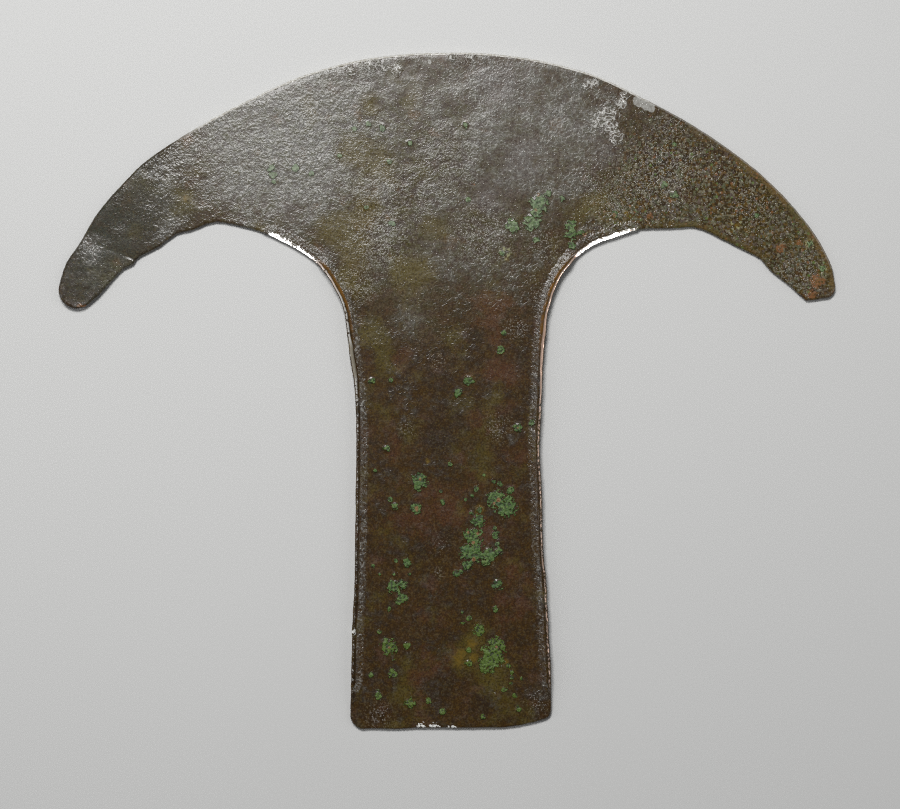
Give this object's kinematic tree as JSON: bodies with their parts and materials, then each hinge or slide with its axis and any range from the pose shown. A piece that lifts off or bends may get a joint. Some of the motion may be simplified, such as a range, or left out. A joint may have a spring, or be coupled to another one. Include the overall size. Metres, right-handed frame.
{
  "type": "axe money",
  "caption": "Thin copper sheet in the shape of a broad crescent blade with drooping horns over a straight, slightly waisted shank with raised side edges.",
  "frame": {"origin": "under the middle of the sheet's box, on the plane it lies on", "axes": "+X towards the blade's right horn, +Y from the foot of the shank to the crown of the blade, +Z out of the face with the raised edges"},
  "size_m": [0.145, 0.1264, 0.0022],
  "materials": {
    "patinated_copper": "dark brown patina, pitted grey on the blade, green spots on the shank"
  },
  "bodies": {
    "root": {"axe_money": "patinated_copper"}
  },
  "joints": []
}
